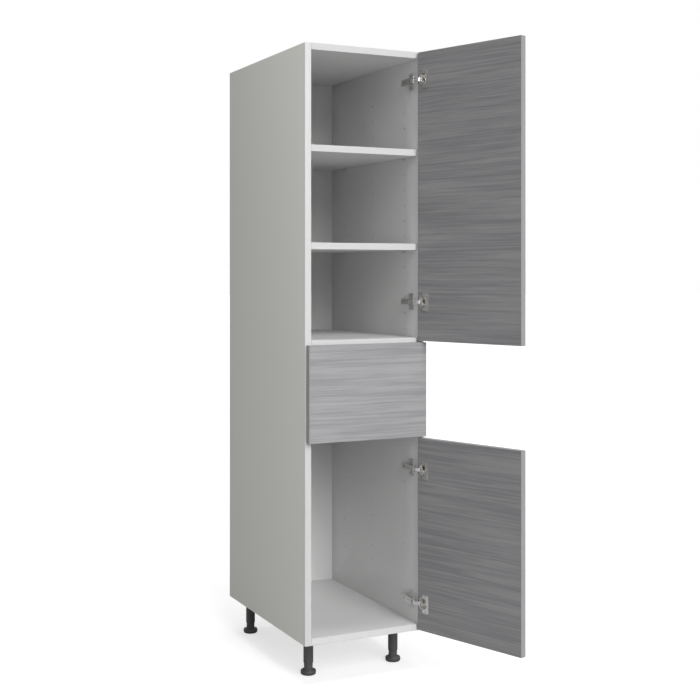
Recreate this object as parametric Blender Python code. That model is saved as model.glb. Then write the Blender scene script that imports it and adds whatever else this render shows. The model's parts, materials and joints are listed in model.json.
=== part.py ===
"""Tall pantry cabinet: a frameless carcass on four levelling legs.

The upper door and the lower door hang on concealed cup hinges on the right,
with a drawer on telescopic runners between them. Both doors stand open here,
as the rest position. Metres, +Z up, +Y towards the back of the cabinet.
The origin is on the floor, at the centre of the front left foot's sole.
"""

import math

import bmesh
import bpy
from mathutils import Matrix, Vector

# ---------------------------------------------------------------- sizes
WIDTH = 0.381            # 15 in, over the side panels
HEIGHT = 1.69545         # 66 3/4 in, carcass only
LEG_HEIGHT = 0.1143      # 4 1/2 in
DEPTH = 0.600            # carcass without the fronts
BOARD = 0.019            # carcass boards, shelves and fronts
FIT = 0.0003             # gap between two pieces that touch
EDGE = 0.0006            # eased edge of a board
REVEAL = 0.003           # fronts stop this far inside the carcass outline
FRONT_GAP = 0.003        # bumper gap between carcass and fronts

# Planes of the carcass, in the part's own frame
LEFT = -0.0565
RIGHT = LEFT + WIDTH
FRONT = -0.1035
BACK = FRONT + DEPTH
BOTTOM = LEG_HEIGHT
TOP = BOTTOM + HEIGHT
INNER_LEFT = LEFT + BOARD
INNER_RIGHT = RIGHT - BOARD

# Back panel, held in a groove near the rear edge of each side
BACK_BOARD = 0.006
BACK_RECESS = 0.005
GROOVE_DEPTH = 0.008
BACK_FACE = BACK - BACK_RECESS - BACK_BOARD

# Heights of the fronts and inner boards, above the carcass underside
FRONT_SPLIT = 0.0045
DRAWER_FRONT = (0.5703, 0.8450)
LOWER_DOOR = (FRONT_SPLIT, DRAWER_FRONT[0] - FRONT_SPLIT)
UPPER_DOOR = (DRAWER_FRONT[1] + FRONT_SPLIT, HEIGHT - REVEAL)
DECK_TOP = 0.858

# Adjustable shelves, each on four pins in the rows of holes
HOLE_PITCH = 0.046
PIN_RADIUS = 0.0025
PIN_ROW = 1.1105
SHELF_PIN_HEIGHTS = {"lower_shelf": PIN_ROW, "upper_shelf": PIN_ROW + 6 * HOLE_PITCH}
PIN_COLUMNS = {"front": 0.083, "rear": 0.488}
PIN_HOLE_DEPTH = 0.010
SHELF_PLAY = 0.001
SHELF_SETBACK = 0.002

# Levelling legs
LEG_X = {"left": 0.0, "right": 0.2775}
LEG_Y = {"front": 0.0, "rear": 0.456}
FOOT_RADIUS = 0.0225
FOOT_THICKNESS = 0.0135
NECK_RADIUS = 0.0128
NECK_TOP = 0.066
TUBE_RADIUS = 0.0143
TUBE_BORE = 0.0131
TUBE_END = 0.032
SOCKET_FLANGE = 0.032
SOCKET_PLATE = 0.003
SOCKET_SLEEVE = 0.0175
SOCKET_DEPTH = 0.022

# Doors: one turning axis each, at the virtual centre of the concealed hinges
DOOR_OPEN = math.radians(109)
AXIS_FROM_EDGE = 0.0085
AXIS_FROM_CARCASS = 0.014
HINGE_AXIS = Vector((RIGHT - REVEAL - AXIS_FROM_EDGE, FRONT - AXIS_FROM_CARCASS, 0))
UPPER_HINGES = {"top": UPPER_DOOR[1] - 0.080, "bottom": UPPER_DOOR[0] + 0.1135}
LOWER_HINGES = {"top": LOWER_DOOR[1] - 0.092, "bottom": LOWER_DOOR[0] + 0.080}

# Concealed hinge
CUP_RADIUS = 0.0172
CUP_WALL = 0.001
CUP_DEPTH = 0.0125
CUP_FROM_EDGE = 0.0225
CUP_BORE = 0.0175
RIM_RADIUS = 0.0190
RIM_THICKNESS = 0.0012
EAR_SIZE = (0.024, 0.054)
EAR_OFFSET = 0.0085
EAR_CORNER = 0.003
EAR_THICKNESS = 0.0021
ARM_HALF_WIDTH = 0.0084
ARM_SKIN = 0.0014
PIVOT = Vector((INNER_RIGHT - 0.017, FRONT - 0.003, 0))
PIVOT_PIN = 0.0015
LINK_LENGTH = 0.0230
LINK_BULGE = 0.0055
LINK_HALF_WIDTH = 0.005
LINK_OPEN = math.radians(-43)

# Drawer and its runners
DRAWER_BOARD = 0.015
DRAWER_BOX = (0.585, 0.785)
DRAWER_DEPTH = 0.500
RUNNER_SPACE = 0.013
RUNNER_LENGTH = 0.500
RUNNER_HEIGHT = 0.640
DRAWER_PANEL = 0.006
PANEL_GROOVE = 0.0066
PANEL_RAISE = 0.010

ROUND = 24               # sides of a turned piece

# name: (base colour, roughness, metallic)
FINISHES = {
    "melamine": ((0.72, 0.72, 0.70), 0.45, 0.0),
    "laminate": ((0.37, 0.37, 0.38), 0.50, 0.0),
    "steel": ((0.72, 0.71, 0.69), 0.28, 1.0),
    "zinc": ((0.60, 0.61, 0.62), 0.35, 1.0),
    "plastic": ((0.045, 0.046, 0.050), 0.50, 0.0),
}


# ---------------------------------------------------------------- helpers
def finish(obj, kind):
    """Give the object a material of its own."""
    colour, roughness, metallic = FINISHES[kind]
    material = bpy.data.materials.new(obj.name)
    material.use_nodes = True
    shader = material.node_tree.nodes["Principled BSDF"]
    shader.inputs["Base Color"].default_value = (*colour, 1.0)
    shader.inputs["Roughness"].default_value = roughness
    shader.inputs["Metallic"].default_value = metallic
    obj.data.materials.append(material)


def add_object(name, mesh, kind=None, location=(0, 0, 0), rotation=(0, 0, 0), parent=None):
    """Link a mesh into the scene; with no finish it is a cutter."""
    obj = bpy.data.objects.new(name, mesh)
    bpy.context.scene.collection.objects.link(obj)
    obj.location = location
    obj.rotation_euler = rotation
    obj.parent = parent
    if kind:
        finish(obj, kind)
    else:
        obj.hide_render = True
        obj.display_type = "WIRE"
    return obj


def add_pivot(name, location, angle=0.0):
    """An empty that carries the pieces of one moving body."""
    pivot = bpy.data.objects.new(name, None)
    bpy.context.scene.collection.objects.link(pivot)
    pivot.location = location
    pivot.rotation_euler = (0, 0, angle)
    return pivot


def finish_mesh(bm, name, smooth=False):
    bmesh.ops.recalc_face_normals(bm, faces=bm.faces)
    mesh = bpy.data.meshes.new(name)
    bm.to_mesh(mesh)
    bm.free()
    if smooth:
        mesh.shade_smooth()
        mesh.set_sharp_from_angle(angle=math.radians(35))
    return mesh


def box_mesh(name, size):
    bm = bmesh.new()
    bmesh.ops.create_cube(bm, size=1.0, matrix=Matrix.Diagonal((*size, 1.0)))
    return finish_mesh(bm, name)


def outline_mesh(name, outline, axis, low, high, smooth=False):
    """Extrude a flat outline from low to high along an axis.

    The outline's two coordinates are X and Y for axis Z, Y and Z for axis X,
    and X and Z for axis Y.
    """
    lift = {
        "X": lambda a, b, c: (c, a, b),
        "Y": lambda a, b, c: (a, c, b),
        "Z": lambda a, b, c: (a, b, c),
    }[axis]
    bm = bmesh.new()
    face = bm.faces.new([bm.verts.new(lift(a, b, low)) for a, b in outline])
    moved = bmesh.ops.extrude_face_region(bm, geom=[face])["geom"]
    verts = [item for item in moved if isinstance(item, bmesh.types.BMVert)]
    bmesh.ops.translate(bm, verts=verts, vec=lift(0, 0, high - low))
    return finish_mesh(bm, name, smooth)


def turned_mesh(name, outline, sides=ROUND):
    """Turn an outline of (radius, height) points about Z; it starts and ends on the axis."""
    bm = bmesh.new()
    rings = []
    for radius, height in outline:
        if radius == 0:
            rings.append([bm.verts.new((0, 0, height))] * sides)
            continue
        ring = []
        for i in range(sides):
            angle = math.tau * i / sides
            ring.append(bm.verts.new((radius * math.cos(angle), radius * math.sin(angle), height)))
        rings.append(ring)
    for lower, upper in zip(rings, rings[1:]):
        for i in range(sides):
            j = (i + 1) % sides
            corners = [lower[i], lower[j], upper[j], upper[i]]
            bm.faces.new(list(dict.fromkeys(corners)))
    return finish_mesh(bm, name, smooth=True)


def arc(centre, radius, start, end, steps):
    """Points on an arc, angles in degrees."""
    points = []
    for i in range(steps + 1):
        angle = math.radians(start + (end - start) * i / steps)
        points.append((centre[0] + radius * math.cos(angle), centre[1] + radius * math.sin(angle)))
    return points


def ease_edges(obj, width=EDGE):
    bevel = obj.modifiers.new("eased_edges", "BEVEL")
    bevel.width = width
    bevel.segments = 1
    bevel.limit_method = "ANGLE"
    bevel.angle_limit = math.radians(40)


def combine(obj, tool, operation):
    boolean = obj.modifiers.new(tool.name, "BOOLEAN")
    boolean.operation = operation
    boolean.solver = "EXACT"
    boolean.object = tool


def board(name, low, high, kind="melamine", parent=None):
    """A flat board with eased edges, given by two opposite corners."""
    low, high = Vector(low), Vector(high)
    obj = add_object(name, box_mesh(name, high - low), kind, (low + high) / 2, parent=parent)
    ease_edges(obj)
    return obj


# ---------------------------------------------------------------- carcass
def make_side(name, inner_x, outward):
    """A side panel with the groove for the back and the holes for its shelf pins."""
    groove = inner_x + outward * GROOVE_DEPTH
    outer_x = inner_x + outward * BOARD
    groove_front = BACK_FACE - FIT
    groove_rear = BACK_FACE + BACK_BOARD + FIT
    outline = [
        (outer_x, FRONT), (inner_x, FRONT), (inner_x, groove_front), (groove, groove_front),
        (groove, groove_rear), (inner_x, groove_rear), (inner_x, BACK), (outer_x, BACK),
    ]
    mesh = outline_mesh(name, outline, "Z", BOTTOM, TOP)
    side = add_object(name, mesh, "melamine")
    ease_edges(side)
    drill = turned_mesh(name + "_drill", [
        (0, -PIN_HOLE_DEPTH), (PIN_RADIUS + FIT, -PIN_HOLE_DEPTH), (PIN_RADIUS + FIT, 0.002), (0, 0.002),
    ], sides=12)
    for shelf, height in SHELF_PIN_HEIGHTS.items():
        for column, depth in PIN_COLUMNS.items():
            place = (inner_x, FRONT + depth, BOTTOM + height)
            cutter = add_object(f"{name}_{shelf}_{column}_hole", drill, None, place,
                                (0, -outward * math.pi / 2, 0))
            combine(side, cutter, "DIFFERENCE")


def make_carcass():
    make_side("left_side_panel", INNER_LEFT, -1)
    make_side("right_side_panel", INNER_RIGHT, 1)
    for name, top in (("bottom_panel", BOARD), ("drawer_deck", DECK_TOP), ("top_panel", HEIGHT)):
        board(name,
              (INNER_LEFT + FIT, FRONT, BOTTOM + top - BOARD),
              (INNER_RIGHT - FIT, BACK_FACE - FIT, BOTTOM + top))
    margin = GROOVE_DEPTH - FIT
    board("back_panel",
          (INNER_LEFT - margin, BACK_FACE, BOTTOM + FIT),
          (INNER_RIGHT + margin, BACK_FACE + BACK_BOARD, TOP - FIT))


def make_shelves():
    """Two loose shelves; each lies on four collared pins."""
    collar = 0.0038
    collar_length = 0.0015
    reach = 0.0085
    pin = turned_mesh("shelf_pin", [
        (0, -PIN_HOLE_DEPTH + 0.0015), (PIN_RADIUS, -PIN_HOLE_DEPTH + 0.0015), (PIN_RADIUS, FIT),
        (collar, FIT), (collar, FIT + collar_length), (PIN_RADIUS, FIT + collar_length),
        (PIN_RADIUS, reach), (0, reach),
    ], sides=12)
    for shelf, height in SHELF_PIN_HEIGHTS.items():
        underside = BOTTOM + height + collar + FIT
        board(shelf,
              (INNER_LEFT + SHELF_PLAY, FRONT + SHELF_SETBACK, underside),
              (INNER_RIGHT - SHELF_PLAY, BACK_FACE - SHELF_PLAY, underside + BOARD))
        for column, depth in PIN_COLUMNS.items():
            for hand, x, turn in (("left", INNER_LEFT, 1), ("right", INNER_RIGHT, -1)):
                add_object(f"{shelf}_pin_{column}_{hand}", pin.copy(), "zinc",
                           (x, FRONT + depth, BOTTOM + height), (0, turn * math.pi / 2, 0))


# ---------------------------------------------------------------- legs
def make_legs():
    """Four legs: a socket screwed under the carcass, a clipped-in tube and a screw-in foot."""
    plate_top = LEG_HEIGHT - FIT
    plate_low = plate_top - SOCKET_PLATE
    socket = turned_mesh("socket", [
        (0, plate_top), (SOCKET_FLANGE, plate_top), (SOCKET_FLANGE, plate_low),
        (SOCKET_SLEEVE, plate_low), (SOCKET_SLEEVE, plate_low - SOCKET_DEPTH),
        (TUBE_RADIUS + FIT, plate_low - SOCKET_DEPTH), (TUBE_RADIUS + FIT, plate_low), (0, plate_low),
    ])
    tube_top = plate_low - FIT
    tube_cap = 0.004
    taper = 0.0007
    tube = turned_mesh("tube", [
        (0, tube_top), (TUBE_RADIUS, tube_top), (TUBE_RADIUS, TUBE_END + 3 * taper),
        (TUBE_RADIUS - taper, TUBE_END), (TUBE_BORE, TUBE_END),
        (TUBE_BORE, tube_top - tube_cap), (0, tube_top - tube_cap),
    ])
    chamfer = 0.003
    foot = turned_mesh("foot", [
        (0, NECK_TOP), (NECK_RADIUS, NECK_TOP), (NECK_RADIUS, FOOT_THICKNESS),
        (FOOT_RADIUS - chamfer, FOOT_THICKNESS), (FOOT_RADIUS, FOOT_THICKNESS - chamfer),
        (FOOT_RADIUS, 0), (0, 0),
    ])
    for row, y in LEG_Y.items():
        for hand, x in LEG_X.items():
            for piece, mesh in (("socket", socket), ("tube", tube), ("foot", foot)):
                add_object(f"{row}_{hand}_leg_{piece}", mesh.copy(), "plastic", (x, y, 0))


# ---------------------------------------------------------------- hinges
def cup_mesh_parts(name):
    """The cup with its rim, turned about Z with the mouth up; z = 0 is the door's inner face."""
    inner = CUP_RADIUS - CUP_WALL
    return turned_mesh(name, [
        (0, -CUP_DEPTH), (CUP_RADIUS, -CUP_DEPTH), (CUP_RADIUS, FIT), (RIM_RADIUS, FIT),
        (RIM_RADIUS, FIT + RIM_THICKNESS), (inner, FIT + RIM_THICKNESS),
        (inner, -CUP_DEPTH + CUP_WALL), (0, -CUP_DEPTH + CUP_WALL),
    ], sides=32)


def make_cup(name, height, door_pivot):
    """Hinge cup: a turned cup, two screw ears and a notch where the link swings through."""
    centre = Vector((AXIS_FROM_EDGE - CUP_FROM_EDGE, AXIS_FROM_CARCASS - FRONT_GAP, height))
    mouth_inwards = (-math.pi / 2, 0, 0)
    cup = add_object(name, cup_mesh_parts(name), "steel", centre, mouth_inwards, door_pivot)

    ear_low = FIT + 0.0001
    ear_high = FIT + EAR_THICKNESS
    half_x, half_z = EAR_SIZE[0] / 2, EAR_SIZE[1] / 2
    outline = []
    for sx, sz, start in ((1, 1, 0), (-1, 1, 90), (-1, -1, 180), (1, -1, 270)):
        middle = (sx * (half_x - EAR_CORNER) - EAR_OFFSET, sz * (half_z - EAR_CORNER))
        outline += arc(middle, EAR_CORNER, start, start + 90, 3)
    ears = add_object(name + "_ears", outline_mesh(name + "_ears", outline, "Z", ear_low, ear_high),
                      None, centre, mouth_inwards, door_pivot)
    mouth = CUP_RADIUS - CUP_WALL / 2
    well = turned_mesh(name + "_well", [(0, -0.002), (mouth, -0.002), (mouth, 0.004), (0, 0.004)], sides=32)
    combine(ears, add_object(name + "_well", well, None, centre, mouth_inwards, door_pivot), "DIFFERENCE")
    combine(cup, ears, "UNION")

    notch = box_mesh(name + "_notch", (0.010, 0.013, 0.006))
    place = centre + Vector((CUP_RADIUS - 0.002, 0.002, 0))
    combine(cup, add_object(name + "_notch", notch, None, place, mouth_inwards, door_pivot), "DIFFERENCE")


def arm_outline(offset=0.0):
    """Top line of the hinge arm from rear to front, in distance from the panel and from the front."""
    line = [(0.012, 0.080), (0.0145, 0.068), (0.016, 0.020), (0.0196, 0.004)]
    return [(reach - offset, depth) for reach, depth in line]


def to_plan(points):
    return [(INNER_RIGHT - reach, FRONT + depth) for reach, depth in points]


def make_arm(name, height):
    """Hinge arm: a folded channel with two cheeks that hold the link's pin."""
    pivot_reach, pivot_depth = INNER_RIGHT - PIVOT.x, PIVOT.y - FRONT
    nose = arc((pivot_reach, pivot_depth), 0.0028, 20, -170, 6)
    belly = [(0.010, 0.006), (0.0045, 0.016), (0.0042, 0.080)]
    outline = to_plan(arm_outline() + nose + belly)
    low, high = height - ARM_HALF_WIDTH, height + ARM_HALF_WIDTH
    arm = add_object(name, outline_mesh(name, outline, "Z", low, high), "steel")

    top_line = arm_outline(ARM_SKIN)
    open_front = 0.0035
    hollow = [(-0.001, 0.085), (top_line[0][0], 0.085)] + top_line
    hollow += [(0.024, open_front), (0.024, -0.010), (-0.001, -0.010)]
    cheek = ARM_HALF_WIDTH - ARM_SKIN
    channel = outline_mesh(name + "_channel", to_plan(hollow), "Z", height - cheek, height + cheek)
    combine(arm, add_object(name + "_channel", channel), "DIFFERENCE")

    reach = cheek + ARM_SKIN / 2
    pin = turned_mesh(name + "_pin", [(0, -reach), (PIVOT_PIN, -reach), (PIVOT_PIN, reach), (0, reach)], sides=12)
    combine(arm, add_object(name + "_pin", pin, None, (PIVOT.x, PIVOT.y, height)), "UNION")


def make_plate(name, height):
    """Mounting plate: a cross-shaped base on the side panel with a ridge that carries the arm."""
    base_low, base_high = INNER_RIGHT - 0.0035, INNER_RIGHT - FIT
    front, rear = FRONT + 0.020, FRONT + 0.074
    wing_front, wing_rear = FRONT + 0.023, FRONT + 0.049
    bar, wing, corner = 0.0080, 0.0255, 0.003
    outline = [
        (front, -bar), (wing_front, -bar), (wing_front, -wing + corner), (wing_front + corner, -wing),
        (wing_rear - corner, -wing), (wing_rear, -wing + corner), (wing_rear, -bar), (rear, -bar),
        (rear, bar), (wing_rear, bar), (wing_rear, wing - corner), (wing_rear - corner, wing),
        (wing_front + corner, wing), (wing_front, wing - corner), (wing_front, bar), (front, bar),
    ]
    outline = [(y, height + z) for y, z in outline]
    plate = add_object(name, outline_mesh(name, outline, "X", base_low, base_high), "zinc")
    ridge_size = Vector((0.0075, 0.042, 0.0124))
    ridge_centre = (base_low - ridge_size.x / 2 + 0.001, FRONT + 0.047, height)
    ridge = add_object(name + "_ridge", box_mesh(name + "_ridge", ridge_size), None, ridge_centre)
    combine(plate, ridge, "UNION")


def make_link(name, height):
    """Curved link between the arm's pin and the cup, modelled along its own chord."""
    pivot = add_pivot(name + "_pivot", (PIVOT.x, PIVOT.y, height), LINK_OPEN)
    half = LINK_LENGTH / 2
    radius = (half ** 2 + LINK_BULGE ** 2) / (2 * LINK_BULGE)
    centre = (half, radius - LINK_BULGE)
    sweep = math.degrees(math.asin(half / radius))
    strap = 0.0008
    outline = arc(centre, radius + strap, -90 - sweep, -90 + sweep, 10)
    outline += arc(centre, radius - strap, -90 + sweep, -90 - sweep, 10)
    mesh = outline_mesh(name, outline, "Z", -LINK_HALF_WIDTH, LINK_HALF_WIDTH, smooth=True)
    link = add_object(name, mesh, "steel", parent=pivot)

    width = LINK_HALF_WIDTH + 0.0002
    eye_radius, roll_radius, bore = 0.0027, 0.0016, PIVOT_PIN + FIT
    eye = turned_mesh(name + "_eye", [(0, -width), (eye_radius, -width), (eye_radius, width), (0, width)], 16)
    roll = turned_mesh(name + "_roll", [(0, -width), (roll_radius, -width), (roll_radius, width), (0, width)], 12)
    hole = turned_mesh(name + "_bore", [(0, -0.01), (bore, -0.01), (bore, 0.01), (0, 0.01)], 12)
    combine(link, add_object(name + "_eye", eye, parent=pivot), "UNION")
    combine(link, add_object(name + "_roll", roll, None, (LINK_LENGTH, 0, 0), parent=pivot), "UNION")
    combine(link, add_object(name + "_bore", hole, parent=pivot), "DIFFERENCE")


def make_door(name, span, hinges):
    """A slab door with a cup bore for each hinge, modelled closed and swung open by its pivot."""
    pivot = add_pivot(name + "_pivot", HINGE_AXIS, DOOR_OPEN)
    outer_face = AXIS_FROM_CARCASS - FRONT_GAP - BOARD
    inner_face = AXIS_FROM_CARCASS - FRONT_GAP
    far_edge = AXIS_FROM_EDGE - (WIDTH - 2 * REVEAL)
    slab = board(name,
                 (far_edge, outer_face, BOTTOM + span[0]),
                 (AXIS_FROM_EDGE, inner_face, BOTTOM + span[1]), "laminate", pivot)
    bore_depth = CUP_DEPTH + FIT
    bore = turned_mesh("cup_bore", [
        (0, -bore_depth), (CUP_BORE, -bore_depth), (CUP_BORE, 0.002), (0, 0.002),
    ], sides=32)
    for place, level in hinges.items():
        height = BOTTOM + level
        centre = (AXIS_FROM_EDGE - CUP_FROM_EDGE, inner_face, height)
        cutter = add_object(f"{name}_{place}_bore", bore, None, centre, (-math.pi / 2, 0, 0), pivot)
        combine(slab, cutter, "DIFFERENCE")
        hinge = f"{name}_{place}_hinge"
        make_cup(hinge + "_cup", height, pivot)
        make_link(hinge + "_link", height)
        make_arm(hinge + "_arm", height)
        make_plate(hinge + "_plate", height)


# ---------------------------------------------------------------- drawer
def make_drawer():
    """Drawer box of five boards with the panel in grooves, and its laminate front."""
    low, high = BOTTOM + DRAWER_BOX[0], BOTTOM + DRAWER_BOX[1]
    left, right = INNER_LEFT + RUNNER_SPACE, INNER_RIGHT - RUNNER_SPACE
    front = FRONT - FRONT_GAP + FIT
    rear = front + DRAWER_DEPTH
    slot_low = low + PANEL_RAISE
    slot_high = slot_low + PANEL_GROOVE
    slot_depth = DRAWER_BOARD / 2

    board("drawer_front",
          (LEFT + REVEAL, FRONT - FRONT_GAP - BOARD, BOTTOM + DRAWER_FRONT[0]),
          (RIGHT - REVEAL, FRONT - FRONT_GAP, BOTTOM + DRAWER_FRONT[1]), "laminate")

    def grooved(name, outer, inwards, axis, start, end):
        inner = outer + inwards * DRAWER_BOARD
        slot = inner - inwards * slot_depth
        outline = [
            (outer, low), (inner, low), (inner, slot_low), (slot, slot_low),
            (slot, slot_high), (inner, slot_high), (inner, high), (outer, high),
        ]
        ease_edges(add_object(name, outline_mesh(name, outline, axis, start, end), "melamine"), 0.0004)

    grooved("drawer_left_side", left, 1, "Y", front, rear)
    grooved("drawer_right_side", right, -1, "Y", front, rear)
    inner_left, inner_right = left + DRAWER_BOARD + FIT, right - DRAWER_BOARD - FIT
    grooved("drawer_inner_front", front, 1, "X", inner_left, inner_right)
    board("drawer_back",
          (inner_left, rear - DRAWER_BOARD, slot_high + FIT),
          (inner_right, rear, high))
    margin = slot_depth - 2 * FIT
    board("drawer_bottom",
          (inner_left - margin, front + DRAWER_BOARD - margin, slot_low + FIT),
          (inner_right + margin, rear, slot_low + FIT + DRAWER_PANEL))


def make_runners():
    """Telescopic runners: three nested channels a side, from the panel to the drawer."""
    sheet = 0.0012
    # name: (distance of the web from the panel, distance of the lips' tips, half height)
    members = {
        "cabinet_member": (FIT, 0.0105, 0.0225),
        "middle_member": (0.0035, 0.0110, 0.0175),
        "drawer_member": (RUNNER_SPACE - FIT, 0.0060, 0.0125),
    }
    start = FRONT + 0.002
    level = BOTTOM + RUNNER_HEIGHT
    for hand, wall, inwards in (("left", INNER_LEFT, 1), ("right", INNER_RIGHT, -1)):
        for member, (web, tip, half) in members.items():
            fold = sheet if tip > web else -sheet
            outline = [
                (web, -half), (tip, -half), (tip, -half + sheet), (web + fold, -half + sheet),
                (web + fold, half - sheet), (tip, half - sheet), (tip, half), (web, half),
            ]
            outline = [(wall + inwards * reach, level + z) for reach, z in outline]
            name = f"{hand}_runner_{member}"
            add_object(name, outline_mesh(name, outline, "Y", start, start + RUNNER_LENGTH), "zinc")


# ---------------------------------------------------------------- build
for item in list(bpy.data.objects):
    bpy.data.objects.remove(item, do_unlink=True)

make_carcass()
make_shelves()
make_legs()
make_door("upper_door", UPPER_DOOR, UPPER_HINGES)
make_door("lower_door", LOWER_DOOR, LOWER_HINGES)
make_drawer()
make_runners()
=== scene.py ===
# %% [markdown]
# # A tall pantry cabinet, finished in Blender
#
# The cabinet is a frameless box of white melamine board on four levelling legs. Two doors hang on
# concealed hinges on the right, and a drawer runs between them. The bodies, joints and sizes come
# ready made as the frame; this file gives every surface its finish and adds the small hardware:
# drilled rows for the shelf pins, screws, hinge arms with their adjusting slots, turned legs and
# the ball cages of the drawer runners.
#
# All sizes are metres. X runs to the right, Y to the back, Z up.

# %% Load the frame
import json
import math

import bmesh
import bpy
from mathutils import Matrix, Vector


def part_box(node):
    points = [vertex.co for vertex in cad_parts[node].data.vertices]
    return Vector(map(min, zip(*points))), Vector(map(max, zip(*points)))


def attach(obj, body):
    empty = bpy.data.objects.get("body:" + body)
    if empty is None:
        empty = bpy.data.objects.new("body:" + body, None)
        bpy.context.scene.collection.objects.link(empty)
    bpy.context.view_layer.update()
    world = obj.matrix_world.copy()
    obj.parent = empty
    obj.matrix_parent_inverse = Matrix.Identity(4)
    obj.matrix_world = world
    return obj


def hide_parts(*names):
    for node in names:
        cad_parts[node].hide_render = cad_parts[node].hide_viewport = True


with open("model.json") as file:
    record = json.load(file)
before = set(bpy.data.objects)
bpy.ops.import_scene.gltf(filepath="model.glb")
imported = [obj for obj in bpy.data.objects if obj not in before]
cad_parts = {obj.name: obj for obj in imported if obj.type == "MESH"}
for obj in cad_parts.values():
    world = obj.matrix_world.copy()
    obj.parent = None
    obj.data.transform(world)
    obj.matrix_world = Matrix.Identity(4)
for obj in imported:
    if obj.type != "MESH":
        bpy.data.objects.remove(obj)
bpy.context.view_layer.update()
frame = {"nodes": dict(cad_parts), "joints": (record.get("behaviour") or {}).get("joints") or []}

nodes = frame["nodes"]
joints = {joint["name"]: joint for joint in frame["joints"]}

# %% [markdown]
# ## Reading sizes from the frame
#
# A part made by hand would be measured with a rule. Here the measuring is done on the mesh of each
# piece, so nothing drifts when the cabinet changes size. A door stands open at an angle, so its
# vertices are first turned back about the upright axis; what is left is a plain board whose width,
# thickness and height can be read off.

# %% Measure boards and hinge positions
DOOR_OPEN = math.radians(-joints["upper_door_hinge"]["range_deg"][0])


def board_size(name, turn=0.0):
    """Centre of a board in the cabinet's frame, and half its size along its own axes."""
    back = Matrix.Rotation(-turn, 3, "Z")
    points = [back @ vertex.co for vertex in nodes[name].data.vertices]
    low = Vector(min(p[axis] for p in points) for axis in range(3))
    high = Vector(max(p[axis] for p in points) for axis in range(3))
    return Matrix.Rotation(turn, 3, "Z") @ ((low + high) / 2), (high - low) / 2


side_low, side_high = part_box("left_side_panel")
FRONT, BACK, BOTTOM, TOP = side_low.y, side_high.y, side_low.z, side_high.z
BOARD = side_high.x - side_low.x
INNER_LEFT = side_high.x
INNER_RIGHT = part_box("right_side_panel")[0].x
print(f"inside width {INNER_RIGHT - INNER_LEFT:.4f}, door opened {math.degrees(DOOR_OPEN):.0f} degrees")

# %% [markdown]
# ## The camera
#
# A product view of furniture keeps its uprights upright. A camera that looks down makes them lean
# together, so the camera here is level and its lens is shifted downwards instead, as an
# architectural photographer does.

# %% Camera
CAMERA_PLACE = (-1.44843, -3.22576, 1.16436)
CAMERA_TURN = math.radians(26.139)
LENS, LENS_SHIFT = 62.70, -0.1112
camera_data = bpy.data.cameras.new("camera")
camera_data.sensor_width = 36.0
camera_data.lens = LENS
camera_data.shift_y = LENS_SHIFT
camera_data.clip_end = 200
camera = bpy.data.objects.new("camera", camera_data)
camera.location = CAMERA_PLACE
camera.rotation_euler = (math.pi / 2, 0, -CAMERA_TURN)
bpy.context.scene.collection.objects.link(camera)
bpy.context.scene.camera = camera
bpy.context.scene.view_settings.view_transform = "Standard"
print("camera at", CAMERA_PLACE, "lens", camera_data.lens)

# %% [markdown]
# ## Small tools for node trees
#
# Materials and Geometry Nodes are both networks of boxes and wires. Building them by hand in code
# is long-winded, so one helper adds a node, sets its options, and either wires or fills each input.
# A second helper does arithmetic, which is what most of the wires carry.

# %% Node helpers
def add_node(tree, kind, inputs=None, **options):
    """Add a node; an input that is given a socket is wired, any other value is typed in."""
    made = tree.nodes.new(kind)
    for option, value in options.items():
        setattr(made, option, value)
    for key, value in (inputs or {}).items():
        if isinstance(value, bpy.types.NodeSocket):
            tree.links.new(value, made.inputs[key])
        else:
            made.inputs[key].default_value = value
    return made


def maths(tree, operation, *values):
    made = add_node(tree, "ShaderNodeMath", dict(enumerate(values)), operation=operation)
    return made.outputs[0]


def remap(tree, value, start, end, low=0.0, high=1.0):
    """Stretch start..end to low..high, with soft ends."""
    made = add_node(tree, "ShaderNodeMapRange", {
        "Value": value, "From Min": start, "From Max": end, "To Min": low, "To Max": high,
    }, interpolation_type="SMOOTHSTEP")
    return made.outputs[0]


def blend_colours(tree, factor, first, second, method="MIX"):
    made = add_node(tree, "ShaderNodeMix", {0: factor, 6: first, 7: second},
                    data_type="RGBA", blend_type=method)
    return made.outputs[2]


def stretched_noise(tree, vector, stretch, scale=1.0, detail=3.0, roughness=0.5):
    """Noise whose spots are drawn out: a small number in stretch makes them long that way."""
    scaled = add_node(tree, "ShaderNodeMapping", {"Vector": vector, "Scale": stretch})
    noise = add_node(tree, "ShaderNodeTexNoise", {
        "Vector": scaled.outputs[0], "Scale": scale, "Detail": detail, "Roughness": roughness,
    })
    return noise.outputs[0]


def new_group(name, inputs, outputs):
    """An empty shader node group with named sockets; returns it with its two end nodes."""
    group = bpy.data.node_groups.new(name, "ShaderNodeTree")
    for direction, sockets in (("INPUT", inputs), ("OUTPUT", outputs)):
        for label, (kind, value) in sockets.items():
            socket = group.interface.new_socket(
                name=label, in_out=direction, socket_type="NodeSocket" + kind)
            if value is not None:
                socket.default_value = value
    return group, group.nodes.new("NodeGroupInput").outputs, group.nodes.new("NodeGroupOutput").inputs


def use_group(tree, group, **inputs):
    """Place a group in a tree. Spaces in socket names are written as underscores."""
    named = {label.replace("_", " "): value for label, value in inputs.items()}
    return add_node(tree, "ShaderNodeGroup", named, node_tree=group).outputs


def new_material(name, roughness=0.5, metallic=0.0):
    material = bpy.data.materials.new(name)
    material.use_nodes = True
    tree = material.node_tree
    shader = tree.nodes["Principled BSDF"]
    shader.inputs["Roughness"].default_value = roughness
    shader.inputs["Metallic"].default_value = metallic
    place = add_node(tree, "ShaderNodeTexCoord").outputs["Object"]
    return material, tree, shader, place


def connect(tree, shader, **inputs):
    for label, value in inputs.items():
        tree.links.new(value, shader.inputs[label.replace("_", " ")])


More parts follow.
